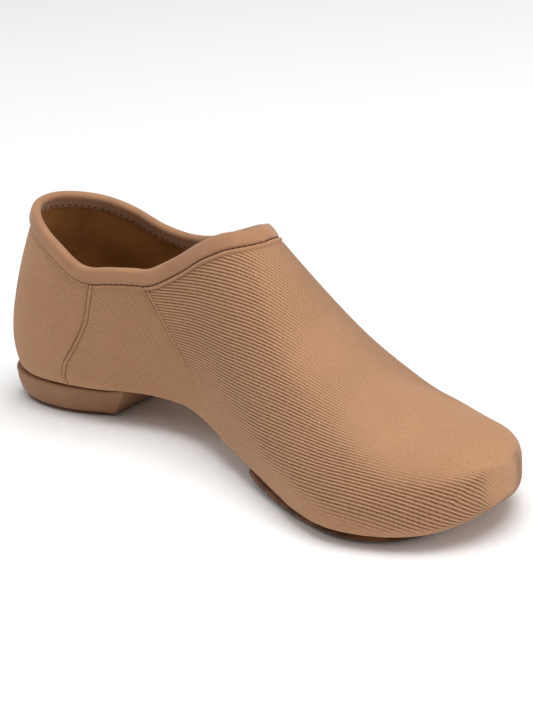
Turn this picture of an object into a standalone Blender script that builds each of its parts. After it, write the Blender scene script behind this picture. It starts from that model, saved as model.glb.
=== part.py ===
"""Jazz dance shoe, left foot: hollow slip-on upper, collar binding, sock lining, split sole.

The last's surface is one function of place along the foot and angle round the section.
Every piece takes its shape from that function. Metres, +X toe, +Y the wearer's left, +Z up.
"""
from collections import namedtuple
from math import pi

import bmesh
import bpy
import numpy as np

# Driving sizes
LAST_LENGTH = 0.248
BALL_WIDTH = 0.084
HEEL_WIDTH = 0.056
CROWN_DEPTH = 0.098          # heel seat to the crown of the last, above the collar
TOE_DEPTH = 0.036            # underside to top of the foot behind the toes
TOE_SPRING = 0.008
BACK_LEAN = 0.0127           # how far the back leans towards the toe at the crown
COLLAR_HEIGHT = 0.0722       # heel seat to the collar at the back
THROAT_PLACE = 0.1215        # back of the heel to the front of the collar

WALL = 0.0020
GAP = 0.0003                 # air between pieces that touch
PANEL_STEP = 0.00045         # each overlapping panel stands this much over the one behind
SEAM_WIDTH = 0.0006          # run of that step along the surface

BINDING_DEPTH = 0.0062       # collar edge to the lower edge of the binding
BINDING_THICKNESS = 0.0013
SOCK_THICKNESS = 0.0022

LIFT_THICKNESS = 0.0012
HEEL_THICKNESS = 0.0102
HEEL_INSET = 0.00525         # the block's sides lie this far in from the heel's width
BREAST_SLANT = 0.0085        # the breast's foot lies this much nearer the back
HEEL_TAPER = 0.0020
HEEL_RIM = 0.0016            # the rim rises this much above the seat
PATCH_THICKNESS = 0.0021
PATCH_INSET = 0.0050
SEAT_MARGIN = 0.013          # lasting margin round the two openings underneath

# Levels above the floor
SEAT_LEVEL = LIFT_THICKNESS + HEEL_THICKNESS + 2 * GAP
TREAD_LEVEL = PATCH_THICKNESS + GAP

# Roundness of a section below and above its widest height, 2 being an ellipse
EDGE_ROUND = 4.2
CROWN_ROUND = 2.15
FEATHER = -pi / 4            # angle round the section of the lower edge

# Sections from heel to toe. place: share of the length. axis: share of the ball width.
# lateral and medial: shares of the width there. seat: share of the rise from tread to heel
# seat. spring: share of the toe spring. depth: share of the depth there. belly: widest
# height, as a share of the section's own depth.
Section = namedtuple("Section", "place axis lateral medial seat spring depth belly")
SECTIONS = (
    Section(0.00, -0.054, 0.000, 0.000, 1.27, 0.00, 0.960, 0.160),
    Section(0.03, -0.045, 0.270, 0.318, 1.05, 0.00, 0.980, 0.160),
    Section(0.08, -0.028, 0.408, 0.448, 1.01, 0.00, 0.990, 0.153),
    Section(0.15, 0.000, 0.477, 0.486, 1.00, 0.00, 0.997, 0.139),
    Section(0.23, 0.040, 0.485, 0.484, 1.00, 0.00, 0.999, 0.114),
    Section(0.33, 0.081, 0.451, 0.427, 1.02, 0.00, 0.969, 0.086),
    Section(0.43, 0.087, 0.395, 0.391, 0.93, 0.00, 0.975, 0.076),
    Section(0.53, 0.064, 0.378, 0.432, 0.51, 0.00, 0.979, 0.088),
    Section(0.63, 0.015, 0.410, 0.490, 0.12, 0.00, 1.006, 0.118),
    Section(0.72, -0.043, 0.459, 0.546, 0.00, 0.00, 1.038, 0.146),
    Section(0.80, -0.094, 0.464, 0.541, 0.00, 0.00, 1.007, 0.190),
    Section(0.88, -0.122, 0.416, 0.464, 0.00, 0.08, 0.911, 0.288),
    Section(0.94, -0.136, 0.333, 0.350, 0.00, 0.35, 0.819, 0.396),
    Section(0.98, -0.144, 0.192, 0.206, 0.00, 0.97, 0.592, 0.540),
    Section(1.00, -0.146, 0.000, 0.000, 0.00, 2.00, 0.220, 0.720),
)
WIDTH_CHANGE = (0.30, 0.66)  # places between which the width goes from heel to ball
DEPTH_CHANGE = (0.30, 0.80)  # and the depth from crown to toe

# Back seam. height: share of the crown depth above the seat. lean: share of the lean.
BackPoint = namedtuple("BackPoint", "height lean")
BACK_CURVE = (
    BackPoint(-0.05, 0.33),
    BackPoint(0.06, 0.10),
    BackPoint(0.16, 0.00),
    BackPoint(0.26, 0.10),
    BackPoint(0.36, 0.31),
    BackPoint(0.50, 0.67),
    BackPoint(0.65, 1.12),
    BackPoint(0.80, 1.60),
    BackPoint(1.05, 2.50),
)
BACK_REACH = 0.50            # place where the lean has died out

# Collar. place: share of the throat place. back: share of the collar height at the back.
# throat: share of the height of the last at the throat. The two add up.
CollarPoint = namedtuple("CollarPoint", "place back throat")
COLLAR = (
    CollarPoint(0.00, 1.00, 0.000),
    CollarPoint(0.11, 0.95, 0.013),
    CollarPoint(0.24, 0.82, 0.068),
    CollarPoint(0.37, 0.64, 0.148),
    CollarPoint(0.51, 0.46, 0.283),
    CollarPoint(0.65, 0.29, 0.487),
    CollarPoint(0.77, 0.15, 0.710),
    CollarPoint(0.89, 0.05, 0.900),
    CollarPoint(1.00, 0.00, 1.000),
)

# Panels from the back seam to the vamp's front. lines: mesh lines across the panel.
# collar: share of the collar's run where the panel ends. edge: place where it ends below.
# bend: above nought its front line runs forward first and then down.
Panel = namedtuple("Panel", "name lines collar edge bend")
PANELS = (
    Panel("counter", 10, 0.44, 0.164, -0.5),
    Panel("quarter", 5, 0.591, 0.485, -0.8),
    Panel("vamp", 25, 1.00, 1.000, 0.9),
)
BINDING_ROWS = (0.0, 0.5, 1.0)  # mesh rows under the binding, as shares of its depth
STEP_ROW = len(BINDING_ROWS) + 1  # first row that stands at its panel's height
SIDE_ROWS = 10               # rows of faces from there to the lower edge
ROW_CLOSING = 1.4            # rows lie closer together towards the lower edge

# Openings underneath, closed by heel and patch. Places where each starts and ends.
OPENINGS = ((0.035, 0.215), (0.610, 0.890))

# Binding section, outer side then roll. row: which of the wall's rows it lies on.
# over: thickness there, as a share of the binding's.
BindingRow = namedtuple("BindingRow", "row over")
BINDING_SECTION = (BindingRow(2, 0.55), BindingRow(1, 1.00), BindingRow(0, 1.00))
BINDING_ROLL = (30, 60, 90, 120, 150)  # degrees round the roll over the edge

# Heel block seen from above. Its sides are widest part way, then narrow to the breast.
HEEL_BACK = -0.0006
HEEL_BREAST = 0.252          # place of the breast, at its top
HEEL_WIDEST = 0.62           # share of the heel's length
HEEL_ROUND = 2.3             # roundness of its back, 2 being an ellipse
BREAST_NARROWING = 0.0035    # each side, from the widest place to the breast
HEEL_STATIONS = 13
PATCH_PLACES = (0.566, 0.911)  # where the forefoot sole starts and ends
PATCH_STATIONS = 17
PATCH_CORNER = 5.0           # roundness of the patch's two ends
GROUND_FLAT = 0.0004         # ground off the patch, which leaves its flat tread
CUPPED = (0.0, 0.45, 0.68, 0.80, 0.88, 0.95, 1.0)  # rows of a plate that follows the last
FLAT = (0.0, 1.0)            # and of one that is flat, as shares of its half width

# Sock lining
SOCK_CLEARANCE = 0.0005
SOCK_SHORT = 0.0015          # cut this much shorter than the inside
SOCK_BLUNT = 0.04            # share of the turn at heel and toe that its blunt ends leave out
SOCK_STATIONS = 30
SOCK_ROWS = 6
SOCK_EDGE = -1.00            # angle round the section of its edge


def ease(value, start, end):
    """Smooth step from 0 at start to 1 at end."""
    u = np.clip((np.asarray(value, float) - start) / (end - start), 0.0, 1.0)
    return u * u * (3.0 - 2.0 * u)


def round_share(place):
    """Turns a place into an angle share, so that widths close round at heel and toe."""
    return np.arccos(np.clip(1.0 - 2.0 * np.asarray(place, float), -1.0, 1.0)) / pi


def place_of(share):
    return (1.0 - np.cos(pi * np.asarray(share, float))) / 2.0


def smooth_through(knots, values, at):
    """Cubic curve through the values at the knots."""
    knots = np.asarray(knots, float)
    values = np.asarray(values, float)
    at = np.clip(np.asarray(at, float), knots[0], knots[-1])
    run = np.diff(knots)
    slope = np.diff(values) / run
    lean = np.empty_like(values)
    lean[1:-1] = (slope[:-1] * run[1:] + slope[1:] * run[:-1]) / (run[:-1] + run[1:])
    lean[0] = 2.0 * slope[0] - lean[1]
    lean[-1] = 2.0 * slope[-1] - lean[-2]
    i = np.clip(np.searchsorted(knots, at, side="right") - 1, 0, len(knots) - 2)
    u = (at - knots[i]) / run[i]
    start = (2 * u ** 3 - 3 * u ** 2 + 1) * values[i] + (u ** 3 - 2 * u ** 2 + u) * run[i] * lean[i]
    end = (3 * u ** 2 - 2 * u ** 3) * values[i + 1] + (u ** 3 - u ** 2) * run[i] * lean[i + 1]
    return start + end


def column(name, place):
    """A column of the section table, read at any place."""
    knots = round_share([row.place for row in SECTIONS])
    return smooth_through(knots, [getattr(row, name) for row in SECTIONS], round_share(place))


def axis_at(place):
    return BALL_WIDTH * column("axis", place)


def half_width(place, side):
    """side is +1 for lateral, the wearer's left, and -1 for medial."""
    width = HEEL_WIDTH + (BALL_WIDTH - HEEL_WIDTH) * ease(place, *WIDTH_CHANGE)
    share = column("lateral", place) if side > 0 else column("medial", place)
    return width * np.maximum(share, 0.0)


def levels(place):
    """Underside, widest height and top of the section."""
    bottom = TREAD_LEVEL + (SEAT_LEVEL - TREAD_LEVEL) * column("seat", place)
    bottom = bottom + TOE_SPRING * column("spring", place)
    depth = CROWN_DEPTH + (TOE_DEPTH - CROWN_DEPTH) * ease(place, *DEPTH_CHANGE)
    depth = depth * column("depth", place)
    return bottom, bottom + depth * column("belly", place), bottom + depth


def back_lean(place, height):
    share = (height - SEAT_LEVEL) / CROWN_DEPTH
    lean = smooth_through([p.height for p in BACK_CURVE], [p.lean for p in BACK_CURVE], share)
    return BACK_LEAN * lean * (1.0 - ease(place, 0.0, BACK_REACH))


def last_point(place, angle, side):
    """Point of the last's surface: angle -pi/2 is the underside's middle, pi/2 the ridge."""
    place, angle = np.broadcast_arrays(np.asarray(place, float), np.asarray(angle, float))
    bottom, widest, top = levels(place)
    low = angle < 0.0
    power = 2.0 / np.where(low, EDGE_ROUND, CROWN_ROUND)
    across = np.cos(angle).clip(0.0) ** power
    rise = np.sign(angle) * np.abs(np.sin(angle)) ** power
    z = widest + np.where(low, widest - bottom, top - widest) * rise
    y = axis_at(place) + side * half_width(place, side) * across
    x = LAST_LENGTH * place + back_lean(place, z)
    return np.stack([x, y, z], axis=-1)


def underside(x, y):
    """Height of the last's underside over a point of the floor."""
    x, y = np.broadcast_arrays(np.asarray(x, float), np.asarray(y, float))
    place = x / LAST_LENGTH
    for _ in range(4):
        place = place.clip(0.001, 0.999)
        bottom, widest, _top = levels(place)
        off = y - axis_at(place)
        half = np.where(off > 0.0, half_width(place, 1), half_width(place, -1))
        reach = (np.abs(off) / half).clip(0.0, 0.998)
        z = widest - (widest - bottom) * (1.0 - reach ** EDGE_ROUND) ** (1.0 / EDGE_ROUND)
        place = (x - back_lean(place, z)) / LAST_LENGTH
    return z


def collar_height(place):
    share = np.asarray(place, float) * LAST_LENGTH / THROAT_PLACE
    knots = [p.place for p in COLLAR]
    throat_top = levels(THROAT_PLACE / LAST_LENGTH)[2] - SEAT_LEVEL
    height = COLLAR_HEIGHT * smooth_through(knots, [p.back for p in COLLAR], share)
    return SEAT_LEVEL + height + throat_top * smooth_through(knots, [p.throat for p in COLLAR], share)


def collar_angle(place):
    """Angle round the section at which the collar crosses it."""
    _bottom, widest, top = levels(place)
    rise = ((collar_height(place) - widest) / (top - widest)).clip(0.0, 1.0)
    return np.arcsin(rise ** (CROWN_ROUND / 2.0))


def collar_places(side):
    """Places of the collar, evenly spaced along its run, as a function of the run's share."""
    fine = THROAT_PLACE / LAST_LENGTH * (1.0 - np.linspace(1.0, 0.0, 400) ** 2)
    points = last_point(fine, collar_angle(fine), side)
    run = np.concatenate([[0.0], np.cumsum(np.linalg.norm(np.diff(points, axis=0), axis=1))])
    return run / run[-1], fine


def ridge_to_edge(place, side):
    """Angles from the ridge down to the lower edge, with the distance walked."""
    angles = np.linspace(pi / 2, FEATHER, 81)
    points = last_point(place, angles, side)
    run = np.concatenate([[0.0], np.cumsum(np.linalg.norm(np.diff(points, axis=0), axis=1))])
    return angles, run


def line_points(ends, side, shares):
    """A line on the last from the collar to the lower edge, read at the shares."""
    start, edge, bend = ends
    angles, run = ridge_to_edge(start, side)
    first = np.interp(-collar_angle(np.array(start)), -angles, run)
    last = ridge_to_edge(edge, side)[1][-1]
    points = []
    for share in shares:
        place = start + (edge - start) * (share + bend * share * (1.0 - share))
        angles, run = ridge_to_edge(place, side)
        walked = first + (last - first) * share
        points.append(last_point(place, np.interp(walked, run, angles), side))
    return np.array(points)


def line_ends(side):
    """Start place, end place and bend of each line, with the panel that it belongs to."""
    shares, places = collar_places(side)
    ends = []
    collar_from, edge_from, bend_from = 0.0, 0.0, 0.0
    run_length = np.linalg.norm(np.diff(last_point(places, collar_angle(places), side), axis=0), axis=1)
    half_seam = 0.5 * SEAM_WIDTH / run_length.sum()
    half_edge = 0.5 * SEAM_WIDTH / LAST_LENGTH
    for number, panel in enumerate(PANELS):
        first = collar_from + (half_seam if number else 0.0)
        final = panel.collar - (half_seam if panel.collar < 1.0 else 0.0)
        edge_first = edge_from + (half_edge if number else 0.0)
        edge_final = panel.edge - (half_edge if panel.edge < 1.0 else 0.0)
        for u in np.linspace(0.0, 1.0, panel.lines + 1):
            start = np.interp(first + (final - first) * u, shares, places)
            angle = round_share(edge_first) * (1.0 - u) + round_share(edge_final) * u
            bend = bend_from + (panel.bend - bend_from) * u
            ends.append(((float(start), float(place_of(angle)), bend), number))
        collar_from, edge_from, bend_from = panel.collar, panel.edge, panel.bend
    return ends


def line_shares(ends, side, collar):
    """Shares along a line: rows under the binding, the panel's step, then the side's rows."""
    fine = np.linspace(0.0, 1.0, 60) ** 1.5
    points = line_points(ends, side, fine)
    away = np.linalg.norm(points[:, None] - collar[None], axis=2).min(axis=1)
    away = np.maximum.accumulate(away)
    depths = [share * BINDING_DEPTH for share in BINDING_ROWS]
    depths += [BINDING_DEPTH + GAP, BINDING_DEPTH + GAP + SEAM_WIDTH]
    rows = np.interp(depths, away, fine)
    closing = 1.0 - np.linspace(1.0, 0.0, SIDE_ROWS + 1)[1:] ** ROW_CLOSING
    rest = rows[-1] + (1.0 - rows[-1]) * closing
    return np.concatenate([rows, rest])


def last_normal(place, angle, side):
    """Outward direction of the last's surface."""
    step = 0.002
    share = round_share(place).clip(step, 1.0 - step)
    angle = np.clip(angle, step - pi / 2, pi / 2 - step)
    along = last_point(place_of(share + step), angle, side)
    along = along - last_point(place_of(share - step), angle, side)
    around = last_point(place_of(share), angle + step, side)
    around = around - last_point(place_of(share), angle - step, side)
    normal = side * np.cross(around, along)
    return normal / np.linalg.norm(normal, axis=-1, keepdims=True)


def new_material(name, color, roughness, metallic=0.0):
    material = bpy.data.materials.new(name)
    material.use_nodes = True
    shader = material.node_tree.nodes["Principled BSDF"]
    shader.inputs["Base Color"].default_value = (*color, 1.0)
    shader.inputs["Roughness"].default_value = roughness
    shader.inputs["Metallic"].default_value = metallic
    return material


def new_object(name, bm, material, sharp_angle=0.8):
    """A closed bmesh becomes a named object, smooth but for its sharp edges."""
    bmesh.ops.remove_doubles(bm, verts=bm.verts[:], dist=0.000002)
    bmesh.ops.recalc_face_normals(bm, faces=bm.faces[:])
    if bm.calc_volume(signed=True) < 0.0:
        bmesh.ops.reverse_faces(bm, faces=bm.faces[:])
    mesh = bpy.data.meshes.new(name)
    bm.to_mesh(mesh)
    bm.free()
    mesh.shade_smooth()
    mesh.set_sharp_from_angle(angle=sharp_angle)
    mesh.materials.append(material)
    obj = bpy.data.objects.new(name, mesh)
    bpy.context.scene.collection.objects.link(obj)
    return obj


def opening_share(edge, half):
    """Half width of the opening underneath, as a share of the edge's half width."""
    for first, final in OPENINGS:
        along = (2.0 * edge - first - final) / (final - first)
        if abs(along) < 1.0:
            return max(1.0 - SEAT_MARGIN / half, 0.0) * (1.0 - along ** 4) ** 0.25
    return 0.0


def shell_line(ends, side, collar):
    """Points of a mesh line, from the collar down the side and under to the middle.

    Tells also whether the line crosses an opening, where its last face is left out.
    """
    above = line_points(ends, side, line_shares(ends, side, collar))
    edge = ends[1]
    edge_share = np.cos(FEATHER) ** (2.0 / EDGE_ROUND)
    share = opening_share(edge, half_width(edge, side) * edge_share + GAP)
    is_open = share > 0.1
    inner = edge_share * (share if is_open else 0.5)
    margin_angle = -np.arccos(inner ** (EDGE_ROUND / 2.0))
    angles = np.array([0.65 * FEATHER + 0.35 * margin_angle, margin_angle, -pi / 2])
    return np.concatenate([above, last_point(edge, angles, side)]), is_open


def panel_height(panel, row):
    """How far a panel stands off the quarter's level: nothing at the binding and at the sole."""
    if row < STEP_ROW:
        return 0.0
    fade = (STEP_ROW + SIDE_ROWS - 1 - row) / 2.0
    return PANEL_STEP * (panel - 1) * min(max(fade, 0.0), 1.0)


def build_shell():
    """Outer face of the upper as an open sheet. Returns it with its lines of verts."""
    bm = bmesh.new()
    raised = bm.verts.layers.float.new("raised")
    halves = {}
    for side in (1, -1):
        shares, places = collar_places(side)
        collar = last_point(places, collar_angle(places), side)
        plan = line_ends(side)
        lines, opened = [], []
        for number, (ends, panel) in enumerate(plan):
            points, is_open = shell_line(ends, side, collar)
            line = []
            for row, point in enumerate(points):
                on_middle = number in (0, len(plan) - 1) or row == len(points) - 1
                if on_middle and side < 0:
                    line.append(halves[1][number][row])
                    continue
                vert = bm.verts.new(point)
                vert[raised] = panel_height(panel, row)
                line.append(vert)
            lines.append(line)
            opened.append(is_open)
        for number, (line, after) in enumerate(zip(lines, lines[1:])):
            faces = len(line) - 1 - (opened[number] and opened[number + 1])
            for row in range(faces):
                quad = (line[row], line[row + 1], after[row + 1], after[row])
                bm.faces.new(quad if side < 0 else quad[::-1])
        halves[side] = lines
    bmesh.ops.delete(bm, geom=[v for v in bm.verts if not v.link_faces], context="VERTS")
    bm.normal_update()
    return bm, raised, halves


def build_upper(material):
    """Hollow wall with an open collar, two openings underneath and a step at each seam.

    Returns the object and the rows that the binding sits on.
    """
    bm, raised, halves = build_shell()
    ring = halves[1] + halves[-1][-2:0:-1]
    keep = [number for number, line in enumerate(ring) if not near_line(ring, number)]
    rows = [[(v.co.copy(), v.normal.copy()) for v in ring[n][:len(BINDING_ROWS)]] for n in keep]
    outer = bm.faces[:]
    outside = bm.verts[:]
    rim = [edge for edge in bm.edges if edge.is_boundary]
    copy = bmesh.ops.duplicate(bm, geom=outside + bm.edges[:] + outer)
    inner = [item for item in copy["geom"] if isinstance(item, bmesh.types.BMFace)]
    twin = copy["vert_map"]
    for vert in outside:
        twin[vert].co = vert.co - vert.normal * WALL
        vert.co += vert.normal * vert[raised]
    bmesh.ops.reverse_faces(bm, faces=inner)
    for edge in rim:
        a, b = edge.verts
        bm.faces.new((a, b, twin[b], twin[a]))
    return new_object("upper", bm, material), rows


def near_line(ring, number):
    """True for the second line of a seam's pair."""
    here, before = ring[number][0].co, ring[number - 1][0].co
    return (here - before).length < 2.0 * SEAM_WIDTH


def binding_section(row_points):
    """Closed section of the binding at one mesh line: outer leg, roll, inner leg and slot."""
    outer, inner, slot_in, slot_out = [], [], [], []
    for row, over in BINDING_SECTION:
        point, normal = row_points[row]
        reach = GAP + BINDING_THICKNESS * over
        outer.append(point + normal * reach)
        inner.insert(0, point - normal * (WALL + reach))
        if row:
            slot_in.append(point - normal * (WALL + GAP))
            slot_out.insert(0, point + normal * GAP)
    edge, normal = row_points[0]
    up = (edge - row_points[1][0]).normalized()
    middle = edge - normal * (WALL / 2)
    radius = WALL / 2 + GAP + BINDING_THICKNESS
    roll = []
    for degrees in BINDING_ROLL:
        turn = np.radians(degrees)
        roll.append(middle + normal * (radius * np.cos(turn)) + up * (radius * np.sin(turn)))
    half_slot = normal * (WALL / 2 + GAP)
    slot_top = [middle - half_slot + up * GAP, middle + half_slot + up * GAP]
    return outer + roll + inner + slot_in + slot_top + slot_out


def build_binding(material, rows):
    """Band folded over the collar's edge, as a closed ring."""
    bm = bmesh.new()
    ring = [[bm.verts.new(point) for point in binding_section(points)] for points in rows]
    for section, after in zip(ring, ring[1:] + ring[:1]):
        for i, vert in enumerate(section):
            bm.faces.new((vert, section[i - 1], after[i - 1], after[i]))
    return new_object("collar_binding", bm, material)


def close_sheets(bm, upper, lower):
    """Faces over two grids of verts, and round the edge between them."""
    for grid in (upper, lower):
        for row, after in zip(grid, grid[1:]):
            for a, b, c, d in zip(row, row[1:], after[1:], after):
                bm.faces.new((a, b, c, d))
    for i in (0, -1):
        for number in range(len(upper) - 1):
            bm.faces.new((upper[number][i], upper[number + 1][i], lower[number + 1][i], lower[number][i]))
        for j in range(len(upper[0]) - 1):
            bm.faces.new((upper[i][j], upper[i][j + 1], lower[i][j + 1], lower[i][j]))


def build_plate(name, material, stations, rows, halves, top, bottom):
    """Solid between two sheets over a plan outline.

    stations: x of each cross line. rows: shares of the half width that halves gives at x.
    top and bottom: functions of a plan point giving a point of each sheet.
    """
    shares = [-share for share in rows[:0:-1]] + list(rows)
    bm = bmesh.new()
    sheets = []
    for sheet in (top, bottom):
        grid = []
        for x in stations:
            middle = axis_at(x / LAST_LENGTH)
            row = []
            for share in shares:
                y = middle + share * halves(x, 1 if share > 0 else -1)
                row.append(bm.verts.new(sheet(x, y, middle)))
            grid.append(row)
        sheets.append(grid)
    close_sheets(bm, *sheets)
    bmesh.ops.dissolve_degenerate(bm, edges=bm.edges[:], dist=0.000002)
    return new_object(name, bm, material)


def heel_half(x, _side):
    """Half width of the heel block at its top."""
    along = (x - HEEL_BACK) / (HEEL_BREAST * LAST_LENGTH - HEEL_BACK)
    half = HEEL_WIDTH / 2 - HEEL_INSET
    if along < HEEL_WIDEST:
        return half * (1.0 - (1.0 - along / HEEL_WIDEST) ** HEEL_ROUND) ** (1.0 / HEEL_ROUND)
    return half - BREAST_NARROWING * ((along - HEEL_WIDEST) / (1.0 - HEEL_WIDEST)) ** 1.5


def heel_point(x, y, middle, level):
    """Plan point of the heel carried down to a level by its taper and its slanted breast."""
    drop = (SEAT_LEVEL - level) / SEAT_LEVEL
    along = (x - HEEL_BACK) / (HEEL_BREAST * LAST_LENGTH - HEEL_BACK)
    narrower = 1.0 - drop * HEEL_TAPER / (HEEL_WIDTH / 2 - HEEL_INSET)
    return x - drop * BREAST_SLANT * along ** 2, middle + (y - middle) * narrower, level


def heel_top(x, y, _middle):
    rim = SEAT_LEVEL + HEEL_RIM
    return x, y, min(float(underside(x, y)) - GAP, rim)


def heel_stations():
    share = np.linspace(0.0, 1.0, HEEL_STATIONS)
    share = 0.35 * share + 0.65 * share ** 2
    return HEEL_BACK + (HEEL_BREAST * LAST_LENGTH - HEEL_BACK) * share


def build_heel(material):
    level = LIFT_THICKNESS + GAP

    def bottom(x, y, middle):
        return heel_point(x, y, middle, level)

    return build_plate("heel", material, heel_stations(), CUPPED, heel_half, heel_top, bottom)


def build_heel_lift(material):
    def top(x, y, middle):
        return heel_point(x, y, middle, LIFT_THICKNESS)

    def bottom(x, y, middle):
        return heel_point(x, y, middle, 0.0)

    return build_plate("heel_lift", material, heel_stations(), FLAT, heel_half, top, bottom)


def patch_half(x, side):
    """Half width of the forefoot sole, set in from the edge of the last."""
    start, end = PATCH_PLACES
    along = (2.0 * x / LAST_LENGTH - start - end) / (end - start)
    corner = max(1.0 - abs(along) ** PATCH_CORNER, 0.0) ** (1.0 / PATCH_CORNER)
    return (half_width(x / LAST_LENGTH, side) - PATCH_INSET) * corner


def patch_top(x, y, _middle):
    return x, y, float(underside(x, y)) - GAP


def patch_bottom(x, y, _middle):
    ground = float(underside(x, y)) - GAP - PATCH_THICKNESS - GROUND_FLAT
    return x, y, max(ground, 0.0)


def build_forefoot_sole(material):
    share = (1.0 - np.cos(pi * np.linspace(0.0, 1.0, PATCH_STATIONS))) / 2.0
    start, end = PATCH_PLACES
    stations = LAST_LENGTH * (start + (end - start) * share)
    return build_plate("forefoot_sole", material, stations, CUPPED, patch_half, patch_top, patch_bottom)


def build_sock(material):
    """Sock lining: a thin insole lying on the inside of the wall, from heel to toe."""
    places = place_of(np.linspace(SOCK_BLUNT, 1.0 - SOCK_BLUNT, SOCK_STATIONS))
    angles = np.linspace(-pi / 2, SOCK_EDGE, SOCK_ROWS)
    bm = bmesh.new()
    sheets = []
    for lift in (0.0, SOCK_THICKNESS):
        lines = []
        for side in (1, -1):
            grid_place, grid_angle = np.meshgrid(places, angles, indexing="ij")
            points = last_point(grid_place, grid_angle, side)
            points = points - last_normal(grid_place, grid_angle, side) * (WALL + SOCK_CLEARANCE)
            points[:, 0, 1] = axis_at(places)
            points[..., 0] -= SOCK_SHORT * grid_place
            points[..., 2] += lift
            lines.append(points)
        both = np.concatenate([lines[0][:, ::-1], lines[1][:, 1:]], axis=1)
        sheets.append([[bm.verts.new(point) for point in row] for row in both])
    close_sheets(bm, *sheets)
    return new_object("insole", bm, material)


def stand_on_origin(objects):
    """Puts the middle of the shoe's box over the origin, with the floor at zero."""
    corners = np.array([vert.co for obj in objects for vert in obj.data.vertices])
    low, high = corners.min(axis=0), corners.max(axis=0)
    for obj in objects:
        obj.location = (-(low[0] + high[0]) / 2, -(low[1] + high[1]) / 2, -low[2])


def main():
    for obj in list(bpy.data.objects):
        bpy.data.objects.remove(obj)
    twill = new_material("tan_twill", (0.450, 0.235, 0.125), 0.85)
    band = new_material("tan_binding", (0.440, 0.225, 0.118), 0.70)
    foam = new_material("tan_heel_rubber", (0.400, 0.205, 0.108), 0.60)
    suede = new_material("brown_suede", (0.110, 0.052, 0.022), 0.95)
    lining = new_material("brown_lining", (0.052, 0.026, 0.011), 0.80)
    upper, rows = build_upper(twill)
    objects = [
        upper,
        build_binding(band, rows),
        build_sock(lining),
        build_forefoot_sole(suede),
        build_heel(foam),
        build_heel_lift(suede),
    ]
    stand_on_origin(objects)


main()
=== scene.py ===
from math import pi

import bmesh
import bpy
import numpy as np
from mathutils import Matrix, Vector


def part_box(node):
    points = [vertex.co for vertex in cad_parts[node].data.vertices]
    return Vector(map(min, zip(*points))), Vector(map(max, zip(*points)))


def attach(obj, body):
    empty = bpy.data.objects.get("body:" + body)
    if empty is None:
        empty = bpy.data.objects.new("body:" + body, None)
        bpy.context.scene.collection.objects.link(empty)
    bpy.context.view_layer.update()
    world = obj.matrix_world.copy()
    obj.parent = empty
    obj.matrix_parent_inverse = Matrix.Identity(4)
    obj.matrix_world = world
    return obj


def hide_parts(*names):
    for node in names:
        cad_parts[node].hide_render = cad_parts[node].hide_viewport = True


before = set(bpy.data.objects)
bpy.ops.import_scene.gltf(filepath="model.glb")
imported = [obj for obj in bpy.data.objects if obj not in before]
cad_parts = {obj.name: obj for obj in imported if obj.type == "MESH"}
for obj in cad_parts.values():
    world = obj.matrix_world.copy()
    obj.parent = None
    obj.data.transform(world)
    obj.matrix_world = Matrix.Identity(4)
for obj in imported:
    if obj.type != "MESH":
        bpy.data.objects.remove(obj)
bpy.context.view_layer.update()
mm = 0.001

# The last: heel to toe, as in the solids. Lengths in metres.
last = {
    "length": 0.248, "ballWidth": 0.084, "heelWidth": 0.056,
    "crownDepth": 0.098, "toeDepth": 0.036, "toeSpring": 0.008,
    "seatLevel": 0.012, "treadLevel": 0.0024,
    "edgeRound": 4.2, "crownRound": 2.15,
    "widthChange": (0.30, 0.66), "depthChange": (0.30, 0.80),
    "backLean": 0.0127, "backReach": 0.50,
    "collarHeight": 0.0722, "throatPlace": 0.1215,
}
sections = {  # shares of the sizes above, one column per name
    "place":   (0.00, 0.03, 0.08, 0.15, 0.23, 0.33, 0.43, 0.53, 0.63, 0.72, 0.80, 0.88, 0.94, 0.98, 1.00),
    "axis":    (-.054, -.045, -.028, 0, .04, .081, .087, .064, .015, -.043, -.094, -.122, -.136, -.144, -.146),
    "lateral": (.000, .270, .408, .477, .485, .451, .395, .378, .410, .459, .464, .416, .333, .192, .000),
    "medial":  (.000, .318, .448, .486, .484, .427, .391, .432, .490, .546, .541, .464, .350, .206, .000),
    "seat":    (1.27, 1.05, 1.01, 1.00, 1.00, 1.02, .93, .51, .12, .00, .00, .00, .00, .00, .00),
    "spring":  (.00, .00, .00, .00, .00, .00, .00, .00, .00, .00, .00, .08, .35, .97, 2.00),
    "depth":   (.960, .980, .990, .997, .999, .969, .975, .979, 1.006, 1.038, 1.007, .911, .819, .592, .220),
    "belly":   (.160, .160, .153, .139, .114, .086, .076, .088, .118, .146, .190, .288, .396, .540, .720),
}
backCurve = {
    "height": (-0.05, 0.06, 0.16, 0.26, 0.36, 0.50, 0.65, 0.80, 1.05),
    "lean":   (0.33, 0.10, 0.00, 0.10, 0.31, 0.67, 1.12, 1.60, 2.50),
}
collarCurve = {
    "place":  (0.00, 0.11, 0.24, 0.37, 0.51, 0.65, 0.77, 0.89, 1.00),
    "back":   (1.00, 0.95, 0.82, 0.64, 0.46, 0.29, 0.15, 0.05, 0.00),
    "throat": (0.000, 0.013, 0.068, 0.148, 0.283, 0.487, 0.710, 0.900, 1.000),
}
collarDrop = {  # how the sewn edge strays from that curve, in mm
    "place":   (0.00, 0.06, .118, .165, .188, 0.21, 0.24, .265, 0.29, .318, .345, 0.38, 0.43, .465, 0.49),
    "medial":  (0.6, -0.6, -1.6, -1.9, -2.0, -1.3, 0.5, 0.8, 0.2, -1.3, -1.2, -0.7, 0.9, 1.6, 0.2),
    "lateral": (0.6, 0.8, 0.8, 0.7, 0.6, 0.6, 0.5, 0.4, 0.2, 0.0, -0.4, -1.2, -2.3, -2.1, 0.2),
}


def ease(value, start, end):
    u = np.clip((np.asarray(value, float) - start) / (end - start), 0.0, 1.0)
    return u * u * (3.0 - 2.0 * u)


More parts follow.
